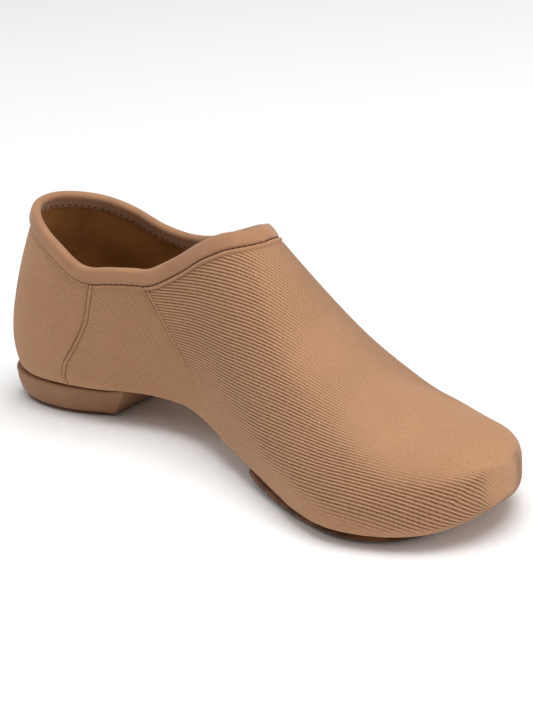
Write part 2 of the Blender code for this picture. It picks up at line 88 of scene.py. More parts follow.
def hump(distance, middle, width, height=1.0):  # smooth bump
    return height * np.exp(-((distance - middle) / width) ** 2)


def roundShare(place):  # shares crowd together at heel and toe, where the plan is round
    return np.arccos(np.clip(1.0 - 2.0 * np.asarray(place, float), -1.0, 1.0)) / pi


def unit(vectors):
    return vectors / np.linalg.norm(vectors, axis=-1, keepdims=True)


def walked(points):  # distance walked along each line of points, from nought
    run = np.cumsum(np.linalg.norm(np.diff(points, axis=-2), axis=-1), axis=-1)
    return np.concatenate([np.zeros((*run.shape[:-1], 1)), run], axis=-1)


def placeOf(share):
    return (1.0 - np.cos(pi * np.asarray(share, float))) / 2.0


def smoothThrough(knots, values, at):  # cubic curve through the values
    knots = np.asarray(knots, float)
    values = np.asarray(values, float)
    at = np.clip(np.asarray(at, float), knots[0], knots[-1])
    run = np.diff(knots)
    slope = np.diff(values) / run
    lean = np.empty_like(values)
    lean[1:-1] = (slope[:-1] * run[1:] + slope[1:] * run[:-1]) / (run[:-1] + run[1:])
    lean[0] = 2.0 * slope[0] - lean[1]
    lean[-1] = 2.0 * slope[-1] - lean[-2]
    i = np.clip(np.searchsorted(knots, at, side="right") - 1, 0, len(knots) - 2)
    u = (at - knots[i]) / run[i]
    start = (2 * u ** 3 - 3 * u ** 2 + 1) * values[i] + (u ** 3 - 2 * u ** 2 + u) * run[i] * lean[i]
    end = (3 * u ** 2 - 2 * u ** 3) * values[i + 1] + (u ** 3 - u ** 2) * run[i] * lean[i + 1]
    return start + end


def column(name, place):
    return smoothThrough(roundShare(sections["place"]), sections[name], roundShare(place))


def axisAt(place):
    return last["ballWidth"] * column("axis", place)


def halfWidth(place, side):  # side: 1 lateral, -1 medial
    width = last["heelWidth"] + (last["ballWidth"] - last["heelWidth"]) * ease(place, *last["widthChange"])
    share = np.where(side > 0, column("lateral", place), column("medial", place))
    return width * np.maximum(share, 0.0)


def levels(place):  # underside, widest height, top
    bottom = last["treadLevel"] + (last["seatLevel"] - last["treadLevel"]) * column("seat", place)
    bottom = bottom + last["toeSpring"] * column("spring", place)
    change = ease(place, *last["depthChange"])
    depth = (last["crownDepth"] + (last["toeDepth"] - last["crownDepth"]) * change) * column("depth", place)
    return bottom, bottom + depth * column("belly", place), bottom + depth


def leanAt(place, z):
    height = (z - last["seatLevel"]) / last["crownDepth"]
    lean = smoothThrough(backCurve["height"], backCurve["lean"], height)
    return last["backLean"] * lean * (1.0 - ease(place, 0.0, last["backReach"]))


def lastPoint(place, angle, side):  # angle: -pi/2 middle of the underside, pi/2 the ridge
    place, angle = np.broadcast_arrays(np.asarray(place, float), np.asarray(angle, float))
    bottom, widest, top = levels(place)
    low = angle < 0.0
    power = 2.0 / np.where(low, last["edgeRound"], last["crownRound"])
    across = np.cos(angle).clip(0.0) ** power
    rise = np.sign(angle) * np.abs(np.sin(angle)) ** power
    z = widest + np.where(low, widest - bottom, top - widest) * rise
    y = axisAt(place) + side * halfWidth(place, side) * across
    return np.stack([last["length"] * place + leanAt(place, z), y, z], axis=-1)


def lastNormal(place, angle, side):
    step = 0.002
    share = roundShare(place).clip(step, 1.0 - step)
    angle = np.clip(angle, step - pi / 2, pi / 2 - step)
    along = lastPoint(placeOf(share + step), angle, side) - lastPoint(placeOf(share - step), angle, side)
    around = lastPoint(placeOf(share), angle + step, side) - lastPoint(placeOf(share), angle - step, side)
    return unit(side * np.cross(around, along))


def collarHeightAt(place, side):
    share = np.asarray(place, float) * last["length"] / last["throatPlace"]
    throatTop = levels(last["throatPlace"] / last["length"])[2] - last["seatLevel"]
    height = last["collarHeight"] * smoothThrough(collarCurve["place"], collarCurve["back"], share)
    height = height + throatTop * smoothThrough(collarCurve["place"], collarCurve["throat"], share)
    stray = collarDrop["lateral"] if side > 0 else collarDrop["medial"]
    return last["seatLevel"] + height + mm * smoothThrough(collarDrop["place"], stray, place)


def collarAngle(place, side):
    _bottom, widest, top = levels(place)
    rise = ((collarHeightAt(place, side) - widest) / (top - widest)).clip(0.0, 1.0)
    return np.arcsin(rise ** (last["crownRound"] / 2.0))


def collarRun(side):  # share of the collar's run, and the place there
    fine = last["throatPlace"] / last["length"] * (1.0 - np.linspace(1.0, 0.0, 800) ** 2)
    return walked(lastPoint(fine, collarAngle(fine, side), side)), fine


def frameShift():  # from the last's own places to the frame's
    behind = 0.6 * mm  # the heel stands this far behind the last
    sideways = 8.75 * mm  # from the frame's middle to the last's own line
    return np.array([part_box("heel")[0].x + behind, sideways, 0.0])


shift = frameShift()
print("frame shift in mm", (shift / mm).round(2))


def addObject(name, data):
    thing = bpy.data.objects.new(name, data)
    bpy.context.scene.collection.objects.link(thing)
    return thing


def newMaterial(name):
    material = bpy.data.materials.new(name)
    material.use_nodes = True
    tree = material.node_tree
    return material, tree, tree.nodes["Principled BSDF"]


def addNode(tree, kind, inputs=None, **settings):
    node = tree.nodes.new(kind)
    for key, value in settings.items():
        setattr(node, key, value)
    for key, value in (inputs or {}).items():
        socket = node.inputs[key]
        if isinstance(value, bpy.types.NodeSocket):
            tree.links.new(value, socket)
        else:
            socket.default_value = value
    return node


def mathNode(tree, operation, a, b=0.0, c=0.0, clamp=False):
    inputs = {0: a, 1: b, 2: c}
    return addNode(tree, "ShaderNodeMath", inputs, operation=operation, use_clamp=clamp).outputs[0]


def objectPoint(tree):
    return addNode(tree, "ShaderNodeTexCoord").outputs["Object"]


def noiseNode(tree, size, detail=3.0, roughness=0.55, stretch=(1.0, 1.0, 1.0)):  # size in metres
    place = addNode(tree, "ShaderNodeMapping", {"Vector": objectPoint(tree), "Scale": stretch})
    scale = {"Vector": place.outputs[0], "Scale": 1.0 / size, "Detail": detail, "Roughness": roughness}
    return addNode(tree, "ShaderNodeTexNoise", scale).outputs["Fac"]


def mixColor(tree, fac, a, b):
    return addNode(tree, "ShaderNodeMix", {0: fac, 6: a, 7: b}, data_type="RGBA").outputs[2]


def spread(tree, value, low=0.3, high=0.7):  # 0 at low, 1 at high
    inputs = {"Value": value, "From Min": low, "From Max": high}
    return addNode(tree, "ShaderNodeMapRange", inputs, interpolation_type="SMOOTHSTEP").outputs[0]


def attribute(tree, name):
    return addNode(tree, "ShaderNodeAttribute", attribute_name=name).outputs["Fac"]


def bumpNode(tree, height, distance, strength=1.0, normal=None):
    inputs = {"Height": height, "Distance": distance, "Strength": strength}
    if normal is not None:
        inputs["Normal"] = normal
    return addNode(tree, "ShaderNodeBump", inputs).outputs["Normal"]


def linear(red, green, blue):  # a screen colour as light
    return tuple(((c / 255 + 0.055) / 1.055) ** 2.4 for c in (red, green, blue)) + (1.0,)


twillLook = {
    # dark: the grain's colour, and also the colour of the painted shade in the rib grooves and along the seams
    "light": linear(180, 136, 101), "dark": linear(94, 55, 30), "tired": linear(167, 122, 88),
    "lit": linear(200, 156, 118),
    "ribRelief": 0.26 * mm, "wander": 0.8, "wanderSize": 2.4 * mm,  # ribs wander by this many radians
    "strandPitch": 1.1, "strandShare": 0.35, "strandRelief": 0.25,  # strands that cross a rib, mm along it
    # painted shade in the grooves between the ribs: its curve and share, and how noise breaks it up
    "grooveShadeCurve": 1.5, "grooveShadeShare": 0.50, "brokenShare": 0.30, "brokenSize": 1.1 * mm,
    "brokenEdges": (0.30, 0.68), "grainEdges": (0.34, 0.66), "grainShare": 0.20,
    "weave": (0.75 * mm, 3.0, 0.7), "weaveRelief": 0.16 * mm, "weaveBump": 0.9,
    "tiredShare": 0.30, "tiredSize": 24 * mm, "litShare": 0.45,
    "finish": (0.86, 0.25, 0.08),
}


def multiply(tree, a, b, clamp=False):
    return mathNode(tree, "MULTIPLY", a, b, clamp=clamp)


def waveNode(tree, phase):  # 0 to 1 and back
    return mathNode(tree, "MULTIPLY_ADD", mathNode(tree, "SINE", phase), 0.5, 0.5)


def setFinish(shader, roughness, gloss, sheen=0.0, sheenRoughness=0.5):  # a look's "finish", in order
    shader.inputs["Roughness"].default_value = roughness
    shader.inputs["Specular IOR Level"].default_value = gloss
    shader.inputs["Sheen Weight"].default_value = sheen
    shader.inputs["Sheen Roughness"].default_value = sheenRoughness


def makeTwill(look):
    material, tree, shader = newMaterial("tanTwill")
    strength = attribute(tree, "ribDepth")
    wander = multiply(tree, noiseNode(tree, look["wanderSize"], 2.0), look["wander"])
    phase = mathNode(tree, "MULTIPLY_ADD", attribute(tree, "ribs"), 2.0 * pi, wander)
    ridge = waveNode(tree, phase)
    twist = multiply(tree, attribute(tree, "strand"), 2.0 * pi / look["strandPitch"])
    strand = waveNode(tree, mathNode(tree, "ADD", twist, phase))
    # painted shade in the rib grooves, broken up by noise and by the strands
    broken = spread(tree, noiseNode(tree, look["brokenSize"], 2.0), *look["brokenEdges"])
    broken = mathNode(tree, "MULTIPLY_ADD", broken, look["brokenShare"], look["grooveShadeShare"])
    broken = mathNode(tree, "MULTIPLY_ADD", strand, look["strandShare"], broken)
    groove = mathNode(tree, "POWER", mathNode(tree, "SUBTRACT", 1.0, ridge), look["grooveShadeCurve"])
    groove = multiply(tree, multiply(tree, groove, broken), strength, clamp=True)
    weave = noiseNode(tree, *look["weave"])
    grain = spread(tree, weave, *look["grainEdges"])
    tired = spread(tree, noiseNode(tree, look["tiredSize"], 2.0))
    lit = multiply(tree, multiply(tree, ridge, strength), look["litShare"])
    color = mixColor(tree, multiply(tree, tired, look["tiredShare"]), look["light"], look["tired"])
    color = mixColor(tree, multiply(tree, grain, look["grainShare"]), color, look["dark"])
    color = mixColor(tree, lit, color, look["lit"])
    color = mixColor(tree, groove, color, look["dark"])
    # painted shade along the seams, at the stitch holes and in the band's groove and fold
    color = mixColor(tree, attribute(tree, "seamShade"), color, look["dark"])
    tree.links.new(color, shader.inputs["Base Color"])
    high = multiply(tree, mathNode(tree, "MULTIPLY_ADD", strand, look["strandRelief"], ridge), strength)
    bumped = bumpNode(tree, high, look["ribRelief"])
    bumped = bumpNode(tree, weave, look["weaveRelief"], look["weaveBump"], bumped)
    tree.links.new(bumped, shader.inputs["Normal"])
    setFinish(shader, *look["finish"])
    return material


plainLooks = {  # colours: base, patches and grain; grain and patch: size and detail of the noise
    "tanBand": {
        "colors": ((169, 124, 90), (130, 90, 61), (130, 90, 61)), "grain": (0.35 * mm, 3.0, 0.6),
        "patch": (14 * mm, 2.0), "patchShare": 0.30, "grainShare": 0.18,
        "relief": 0.05 * mm, "bump": 0.7, "finish": (0.72, 0.3, 0.20),
    },
    "tanHeel": {
        "colors": ((153, 111, 79), (116, 80, 54), (116, 80, 54)), "grain": (0.5 * mm, 3.0, 0.6),
        "patch": (14 * mm, 2.0), "patchShare": 0.30, "grainShare": 0.18,
        "relief": 0.04 * mm, "bump": 0.7, "finish": (0.62, 0.3, 0.05),
    },
    "brownSuede": {
        "colors": ((66, 38, 18), (132, 84, 46), (66, 38, 18)), "patchShare": 1.0, "grainShare": 0.6,
        "grain": (0.30 * mm, 4.0, 0.7, (1.0, 1.6, 1.0)), "patch": (7 * mm, 3.0, 0.6, (0.6, 1.5, 1.0)),
        "relief": 0.30 * mm, "bump": 0.9, "finish": (0.95, 0.1, 0.35, 0.45),
    },
    "brownLining": {
        "colors": ((136, 90, 46), (174, 120, 66), (136, 90, 46)), "grain": (0.5 * mm, 2.0, 0.6),
        "patch": (18 * mm, 2.0), "patchShare": 1.0, "grainShare": 0.4,
        "relief": 0.06 * mm, "bump": 0.7, "finish": (0.85, 0.2),
    },
}


def makePlain(name):
    look = plainLooks[name]
    material, tree, shader = newMaterial(name)
    base, patched, dark = [linear(*color) for color in look["colors"]]
    grain = noiseNode(tree, *look["grain"])
    patch = spread(tree, noiseNode(tree, *look["patch"]))
    color = mixColor(tree, multiply(tree, patch, look["patchShare"]), base, patched)
    color = mixColor(tree, multiply(tree, grain, look["grainShare"]), color, dark)
    tree.links.new(color, shader.inputs["Base Color"])
    tree.links.new(bumpNode(tree, grain, look["relief"], look["bump"]), shader.inputs["Normal"])
    setFinish(shader, *look["finish"])
    return material


def makeThread(name, color):
    material, tree, shader = newMaterial(name)
    fibre = noiseNode(tree, 0.25 * mm, 2.0)
    shade = tuple(c * 0.55 for c in color[:3]) + (1.0,)
    tree.links.new(mixColor(tree, fibre, shade, color), shader.inputs["Base Color"])
    tree.links.new(bumpNode(tree, fibre, 0.04 * mm), shader.inputs["Normal"])
    shader.inputs["Roughness"].default_value = 0.7
    return material


twill = makeTwill(twillLook)
band, heelFoam, suede, liningCloth = [makePlain(name) for name in plainLooks]
darkThread = makeThread("darkThread", linear(84, 56, 36))
seamThread = makeThread("seamThread", linear(122, 84, 56))
print("materials made")


def gridMesh(points):  # a sheet from an array of points, columns by rows
    columns, rows = points.shape[:2]
    bm = bmesh.new()
    bmesh.ops.create_grid(bm, x_segments=columns - 1, y_segments=rows - 1, size=1.0)
    for vert, place in zip(bm.verts, (points + shift).transpose(1, 0, 2).reshape(-1, 3)):
        vert.co = place
    return bm


def gridPiece(name, points, material, nodes, attributes=None, weld=0.008 * mm, thickness=0.0):
    # a piece from such a sheet, with named values on its points
    bm = gridMesh(points)
    for key, values in (attributes or {}).items():
        layer = bm.verts.layers.float.new(key)
        for vert, value in zip(bm.verts, values.T.ravel()):
            vert[layer] = float(value)
    bmesh.ops.remove_doubles(bm, verts=bm.verts[:], dist=weld)
    bmesh.ops.dissolve_degenerate(bm, edges=bm.edges[:], dist=0.001 * mm)
    if bm.calc_volume(signed=True) < 0.0:  # outward faces, before a wall gets its thickness
        bmesh.ops.reverse_faces(bm, faces=bm.faces[:])
    return finishPiece(name, bm, material, nodes, thickness)


def finishPiece(name, bm, material, nodes=(), thickness=0.0):
    mesh = bpy.data.meshes.new(name)
    bm.to_mesh(mesh)
    bm.free()
    mesh.shade_smooth()
    mesh.materials.append(material)
    piece = addObject(name, mesh)
    if thickness:
        wall = piece.modifiers.new("wall", "SOLIDIFY")
        wall.thickness = thickness
        wall.offset = -1.0
    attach(piece, "root")
    if nodes:
        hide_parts(*nodes)
    return piece


pathShares = (0.0, 0.2, 0.4, 0.6, 0.8, 1.0)
boundaries = (  # where panels meet: place at the collar, place at the lower edge, and the way between
    {"collar": 0.0, "edge": 0.0, "path": (0.0, 0.2, 0.4, 0.6, 0.8, 1.0)},
    {"collar": 0.211, "edge": 0.158, "path": (0.0, 0.0, 0.05, 0.38, 0.86, 1.0)},
    {"collar": 0.300, "edge": 0.530, "path": (0.0, 0.126, 0.257, 0.391, 0.62, 1.0)},
    {"collar": 0.4899, "edge": 1.0, "path": (0.0, 0.344, 0.616, 0.816, 0.944, 1.0)},
)
upperCloth = {
    "columns": (40, 22, 104),  # lines on the counter, the quarter and the vamp
    "seamColumns": (0.12, 0.35, 0.6, 0.9, 1.2, 1.5, 1.9, 2.6),  # mm from a seam
    "topRows": (0.0, 2.0, 3.6, 4.1, 4.35, 4.6, 4.85, 5.1, 5.4, 5.7, 6.0, 6.3, 6.6, 7.0, 7.6),  # mm down
    "sideRows": 62, "underRows": 12, "step": 0.45, "bandEdge": 4.6, "thickness": 0.9 * mm,
    "vampTurn": 0.80, "vampLead": 1.3,  # share of its length where the last line leaves the ridge
    "throatGain": 0.16, "throatPlaces": (0.39, 0.45),  # the band is this much wider by the throat
    "stepRise": (-0.4, 0.4), "vampStepEnd": (0.60, 0.92), "counterStepEnd": (0.90, 0.985),
    "strandLean": 0.35, "seamPoints": 160,
}


def lineSpecs(side, counts, seamColumns=()):
    # start, end, way, panel and share of the vamp of each line from the collar to the lower edge
    run, places = collarRun(side)
    specs = []
    for panel, (left, right) in enumerate(zip(boundaries, boundaries[1:])):
        ends = []
        for bound, inward in ((left, 1.0), (right, -1.0)):
            seam = bound["collar"] > 0.0 and bound["edge"] < 1.0
            steps = [inward * d * mm for d in seamColumns] if seam and seamColumns else [0.0]
            start = np.interp(bound["collar"], places, run)
            ends.append([(start + d, bound["edge"] + d / last["length"], bound["path"]) for d in steps])
        first, final = ends[0][-1], ends[1][-1]
        middle = []
        for u in np.linspace(0.0, 1.0, counts[panel] + 1)[1:-1]:
            edge = placeOf(roundShare(first[1]) * (1.0 - u) + roundShare(final[1]) * u)
            path = [a * (1.0 - u) + b * u for a, b in zip(first[2], final[2])]
            middle.append((first[0] * (1.0 - u) + final[0] * u, float(edge), path))
        for start, edge, path in ends[0] + middle + ends[1][::-1]:
            specs.append((float(np.interp(start, run, places)), edge, path, panel))
    vamp = [number for number, spec in enumerate(specs) if spec[3] == 2]
    toeward = {number: (k / (len(vamp) - 1)) for k, number in enumerate(vamp)}
    return [spec + (toeward.get(number, 0.0),) for number, spec in enumerate(specs)]


def ridgeRuns(places, side):  # distance walked from the ridge down to the lower edge
    angles = np.linspace(pi / 2, -pi / 4, 81)
    points = lastPoint(np.asarray(places)[:, None], angles[None], side)
    return angles, walked(points)


def lineOn(spec, side, shares):  # places and angles at shares of the way down
    start, edge, path, _panel, toeward = spec
    turn = upperCloth["vampTurn"]
    ahead = 1.0 - (1.0 - (np.asarray(shares) / turn).clip(0.0, 1.0)) ** upperCloth["vampLead"]
    reach = smoothThrough(pathShares, path, shares) * (1.0 - toeward) + toeward * ahead
    places = start + (edge - start) * reach
    angles, runs = ridgeRuns(np.concatenate([[start, edge], places]), side)
    first = np.interp(-collarAngle(np.array(start), side), -angles, runs[0])
    fall = shares * (1.0 - toeward) + toeward * ease(shares, turn, 1.0)
    down = first + (runs[1][-1] - first) * fall
    return places, np.array([np.interp(at, run, angles) for at, run in zip(down, runs[2:])])


def sheetOn(side, specs, topRows, sideRows):
    # places, angles, distances from the collar and shares of a whole side, lines by rows
    _run, collarPlaces = collarRun(side)
    collar = lastPoint(collarPlaces[::3], collarAngle(collarPlaces[::3], side), side)
    fine = np.linspace(0.0, 1.0, 60) ** 1.5
    closing = 1.0 - np.linspace(1.0, 0.0, sideRows + 1)[1:] ** 1.25
    place, angle, below, share = [], [], [], []
    for spec in specs:
        points = lastPoint(*lineOn(spec, side, fine), side)
        away = np.linalg.norm(points[:, None] - collar[None], axis=2).min(axis=1)
        away[0] = 0.0
        wider = 1.0 + upperCloth["throatGain"] * ease(spec[0], *upperCloth["throatPlaces"])
        away = np.maximum.accumulate(away) / wider
        rows = np.interp(np.array(topRows) * mm, away, fine)
        rows = np.concatenate([rows, rows[-1] + (1.0 - rows[-1]) * closing])
        places, angles = lineOn(spec, side, rows)
        place.append(places)
        angle.append(angles)
        below.append(np.interp(rows, fine, away) / mm)
        share.append(rows)
    return np.array(place), np.array(angle), np.array(below), np.array(share)


tuck = {  # how far the cloth draws in where it turns under the foot, in mm, and the angle there
    "place": (0.0, 0.10, 0.18, 0.22, 0.26, 0.30, 0.345, 0.385, 0.43,
              0.53, 0.58, 0.62, 0.67, 0.72, 0.76, 0.80, 0.84, 0.88, 1.0),
    "draw":  (0.0, 0.1, 0.4, 0.8, 1.6, 2.4, 2.7, 1.9, 0.0, 0.1, 1.3, 2.3, 2.8, 2.5, 1.8, 1.1, 0.5, 0.0, 0.0),
    "turn":  (-50, -50, -48, -46, -44, -44, -42, -36, -30, -20, -18, -18, -18, -20, -24, -28, -32, -36, -40),
    "spread": 27,
}


def tuckAt(place, angle):
    turn = smoothThrough(tuck["place"], tuck["turn"], place)
    draw = smoothThrough(tuck["place"], tuck["draw"], place)
    return mm * draw * hump(np.degrees(angle), turn, tuck["spread"])


def besideSeam(seam, side, ahead=0.0):  # a line so many mm in front of a seam, as one of lineSpecs
    run, places = collarRun(side)
    bound = boundaries[seam]
    start = np.interp(np.interp(bound["collar"], places, run) + ahead * mm, run, places)
    return float(start), bound["edge"] + ahead * mm / last["length"], bound["path"], 0, 0.0


def seamDistance(points, side, seam, panelIndex):
    # distance in mm from a seam, above nought in front of it
    shares = np.linspace(0.0, 1.0, upperCloth["seamPoints"])
    line = lastPoint(*lineOn(besideSeam(seam, side), side, shares), side)
    away = np.concatenate([
        np.linalg.norm(part[:, None] - line[None], axis=2).min(axis=1)
        for part in np.array_split(points.reshape(-1, 3), 40)
    ])
    sign = np.where(np.asarray(panelIndex) >= seam, 1.0, -1.0)[:, None]
    return away.reshape(points.shape[:2]) / mm * sign


ribLook = {
    # vamp: ribs to a millimetre of girth, length and width, and how they change from the middle
    "middle": 150.0, "aside": 30.0, "scale": 100.0,
    "girth": 0.854, "length": -0.022, "width": 0.237, "lengthGain": 0.102, "girthFade": -0.287,
    "girthBend": -0.222, "widthGain": 0.199, "lengthBend": 0.065,
    "toeTurn": 0.552, "toeStart": (232, 244), "toeSide": (-25, 10),
    # counter and quarter: run along, outward and up, and pitch
    "along": (-0.40, -0.52), "across": 0.22, "up": 0.92, "pitch": (0.92, 0.98), "sideDepth": (0.40, 0.60),
    "heelFade": (0.04, 0.17),
    # ribs fade as the cloth faces up
    "place": (0.42, 0.50, 0.58, 0.65, 0.70, 0.755, 0.805, 0.85, 0.89, 0.93, 0.97, 1.0),
    "full": (0.66, 0.68, 0.70, 0.74, 0.80, 0.82, 0.80, 0.72, 0.62, 0.52, 0.34, 0.25),
    "none": (0.86, 0.86, 0.89, 0.94, 1.00, 1.03, 1.00, 0.96, 0.93, 0.88, 0.78, 0.70),
    # and as it faces down
    "lowPlace": (0.0, 0.30, 0.45, 0.55, 0.65, 0.755, 0.805, 0.85, 0.89, 0.93, 0.97, 1.0),
    "lowNone": (-0.30, -0.20, -0.15, -0.10, -0.02, 0.10, 0.00, -0.20, -0.40, -0.70, -1.0, -1.2),
    "lowFull": (0.10, 0.15, 0.18, 0.22, 0.32, 0.42, 0.35, 0.25, 0.15, -0.10, -0.50, -0.70),
    # and at the tip and the far side of the toe
    "tip": (0.989, 0.9995), "farToe": (206, 232), "farSide": (-4, 16),
}


def girthTable(side):  # girth in mm from the widest line up to the ridge, over places
    angles = np.linspace(-1.45, pi / 2, 260)
    places = placeOf(np.linspace(0.0, 1.0, 150))
    points = lastPoint(places[:, None], angles[None], side) / mm
    run = walked(points)
    run -= np.array([np.interp(0.0, angles, row) for row in run])[:, None]
    return places, angles, run


def girthAt(place, angle, side):
    places, angles, run = girthTable(side)
    column = np.interp(roundShare(place), roundShare(places), np.arange(len(places)))
    row = np.interp(angle, angles, np.arange(len(angles)))
    c0, r0 = np.minimum(column.astype(int), len(places) - 2), np.minimum(row.astype(int), len(angles) - 2)
    u, v = column - c0, row - r0
    low = run[c0, r0] * (1 - v) + run[c0, r0 + 1] * v
    high = run[c0 + 1, r0] * (1 - v) + run[c0 + 1, r0 + 1] * v
    return low * (1 - u) + high * u


def vampRibs(points, place, angle, side, look):
    # rib number: it goes on over the ridge, as one piece of cloth does
    x, y = points[..., 0] / mm, points[..., 1] / mm
    top = np.full(np.shape(angle), pi / 2)
    ridge = girthAt(place, top, -1)
    girth = girthAt(place, angle, side)
    if side > 0:
        girth = ridge + girthAt(place, top, 1) - girth
    over = np.maximum(girth - ridge, 0.0)
    near = girth - over
    bend = (near ** 2 + 2.0 * near * over) / look["scale"]
    length = x - look["middle"]
    share = length / look["scale"]
    rib = look["girth"] * girth + look["length"] * x + look["width"] * y + look["lengthGain"] * share * length
    rib = rib + look["girthFade"] * share * girth + look["girthBend"] * bend
    rib = rib + look["widthGain"] * share * (y + look["aside"]) + look["lengthBend"] * share ** 2 * length
    start, wide = look["toeSide"]
    past = np.maximum(y - start, 0.0)
    turn = np.where(past < wide, past ** 2 / (2.0 * wide), past - wide / 2.0)
    return rib + look["toeTurn"] * turn * ease(x, *look["toeStart"])


def ribField(points, place, angle, panelIndex, side, look):
    # rib number and rib depth at each point, in the last's own places
    x, y, z = (points / mm).transpose(2, 0, 1)
    panel = np.asarray(panelIndex)[:, None] + np.zeros_like(x, int)
    vamp = panel == 2
    low = np.minimum(panel, 1)
    outward = side * (y - axisAt(place) / mm)
    sideRibs = look["up"] * z - look["across"] * outward + np.array(look["along"])[low] * x
    sideRibs = sideRibs / np.array(look["pitch"])[low]
    field = np.where(vamp, vampRibs(points, place, angle, side, look), sideRibs)
    facingUp = lastNormal(place, angle, side)[..., 2]
    full = smoothThrough(look["place"], look["full"], place)
    none = smoothThrough(look["place"], look["none"], place)
    depth = 1.0 - ease((facingUp - full) / (none - full), 0.0, 1.0)
    lowNone = smoothThrough(look["lowPlace"], look["lowNone"], place)
    lowFull = smoothThrough(look["lowPlace"], look["lowFull"], place)
    depth = depth * ease((facingUp - lowNone) / (lowFull - lowNone), 0.0, 1.0)
    depth = depth * (1.0 - ease(x, *look["farToe"]) * ease(y, *look["farSide"]))
    depth = depth * (1.0 - ease(place, *look["tip"]))
    depth = depth * np.where(vamp, 1.0, np.array(look["sideDepth"])[low])
    return field, np.where(panel == 0, depth * ease(place, *look["heelFade"]), depth)


seamLook = {
    # middle, width and height of each form across a seam, in mm, or its share where painted shade darkens the
    # cloth (the step's shadow and the stitch holes) or where it smooths the cloth; "fade": shares of the way
    # down where the seam fades, and by how much
    "back": {"ridge": (0.62, 0.42, 0.42), "holes": (1.65, 0.35, 0.25), "press": (-0.25, 0.35, 0.30),
             "dark": (-0.12, 0.34, 0.85), "holesShade": (1.65, 0.35, 0.22), "ribFree": (0.9, 1.1, 0.9),
             "fade": (0.93, 1.0, 1.0)},
    "vamp": {"ridge": (0.55, 0.42, 0.36), "holes": (1.45, 0.35, 0.22), "press": (-0.25, 0.35, 0.28),
             "dark": (-0.12, 0.32, 0.80), "holesShade": (1.45, 0.35, 0.20), "ribFree": (0.8, 0.9, 0.8),
             "fade": (0.62, 0.95, 0.9)},
}
bandSeam = {  # the same for the seam under the band, whose welt is lower on counter and quarter
    "groove": (0.0, 0.38, 0.45), "welt": (0.95, 0.50, 0.62), "fold": (1.9, 0.30, 0.30), "sideWelt": 0.30,
    # painted shade in the groove under the band and in the fold below its welt
    "dark": (0.0, 0.33, 0.55), "foldShade": (1.9, 0.28, 0.35), "ribFree": (1.5, 2.2),
}


def upperRelief(cloth, place, below, share, panelIndex, seams):
    # height over the last in mm, and how much painted shade darkens the cloth at the seams, stitch holes and
    # the band's groove and fold
    panel = np.asarray(panelIndex)[:, None]
    fromBand = below - cloth["bandEdge"]
    top = ease(fromBand, *cloth["stepRise"])
    bottom = np.where(panel == 2, ease(place, *cloth["vampStepEnd"]), ease(share, *cloth["counterStepEnd"]))
    relief, seamShade = cloth["step"] * (panel - 1.0) * top * (1.0 - bottom), 0.0
    for look, away in zip(seamLook.values(), seams):
        start, end, loss = look["fade"]
        strength = top * (1.0 - loss * ease(share, start, end))
        ridge = np.where(away > 0, hump(away, *look["ridge"]), 0.0)
        relief = relief + strength * (ridge - hump(away, *look["holes"]) - hump(away, *look["press"]))
        seamShade = seamShade + strength * (hump(away, *look["dark"]) + hump(away, *look["holesShade"]))
    welt = np.where(panel == 2, 1.0, bandSeam["sideWelt"])
    relief = relief + welt * (hump(fromBand, *bandSeam["welt"]) - hump(fromBand, *bandSeam["fold"]))
    relief = relief - hump(fromBand, *bandSeam["groove"])
    seamShade = seamShade + hump(fromBand, *bandSeam["dark"]) + welt * hump(fromBand, *bandSeam["foldShade"])
    return relief, seamShade.clip(0.0, 0.9)


def underRows(cloth, specs, place, angle, below, share):
    # the lines go on under the foot, from the lower edge to the middle
    low = np.linspace(0.0, 1.0, cloth["underRows"] + 1)[1:]
    across = np.cos(-pi / 4) ** (2 / last["edgeRound"]) * (1.0 - low)
    flat = np.arccos(across.clip(0, 1) ** (last["edgeRound"] / 2))
    edge = np.array([spec[1] for spec in specs])[:, None]
    place = np.concatenate([place, np.repeat(edge, len(low), axis=1)], axis=1)
    angle = np.concatenate([angle, np.repeat(-flat[None], len(specs), axis=0)], axis=1)
    below = np.concatenate([below, np.repeat(below[:, -1:], len(low), axis=1)], axis=1)
    return place, angle, below, np.concatenate([share, np.ones((len(specs), len(low)))], axis=1)


def buildUpper(cloth):
    halves = []
    for side in (1, -1):
        specs = lineSpecs(side, cloth["columns"], cloth["seamColumns"])
        panelIndex = [spec[3] for spec in specs]
        sheet = sheetOn(side, specs, cloth["topRows"], cloth["sideRows"])
        place, angle, below, share = underRows(cloth, specs, *sheet)
        points = lastPoint(place, angle, side)
        seams = [seamDistance(points, side, seam, panelIndex) for seam in (1, 2)]
        relief, seamShade = upperRelief(cloth, place, below, share, panelIndex, seams)
        ribs, depth = ribField(points, place, angle, panelIndex, side, ribLook)
        for look, away in zip(seamLook.values(), seams):
            depth = depth * (1.0 - hump(away, *look["ribFree"]))
        depth = depth * ease(below - cloth["bandEdge"], *bandSeam["ribFree"])
        out = relief * mm - tuckAt(place, angle)
        points = points + lastNormal(place, angle, side) * out[..., None]
        strand = points[..., 0] + cloth["strandLean"] * np.abs(points[..., 1] - axisAt(place))
        halves.append([points, ribs, depth, seamShade, strand / mm])
    whole = []
    for outer, inner in zip(*halves):  # both halves share the line down the back and the one along the top
        inner[0], inner[-1] = outer[0], outer[-1]
        whole.append(np.concatenate([outer, inner[::-1]], axis=0)[::-1])
    values = dict(zip(("ribs", "ribDepth", "seamShade", "strand"), whole[1:]))
    return gridPiece("upper_cloth", whole[0], twill, ["upper"], values,
                     thickness=cloth["thickness"])


upperPiece = buildUpper(upperCloth)
print("upper cloth:", len(upperPiece.data.polygons), "faces")


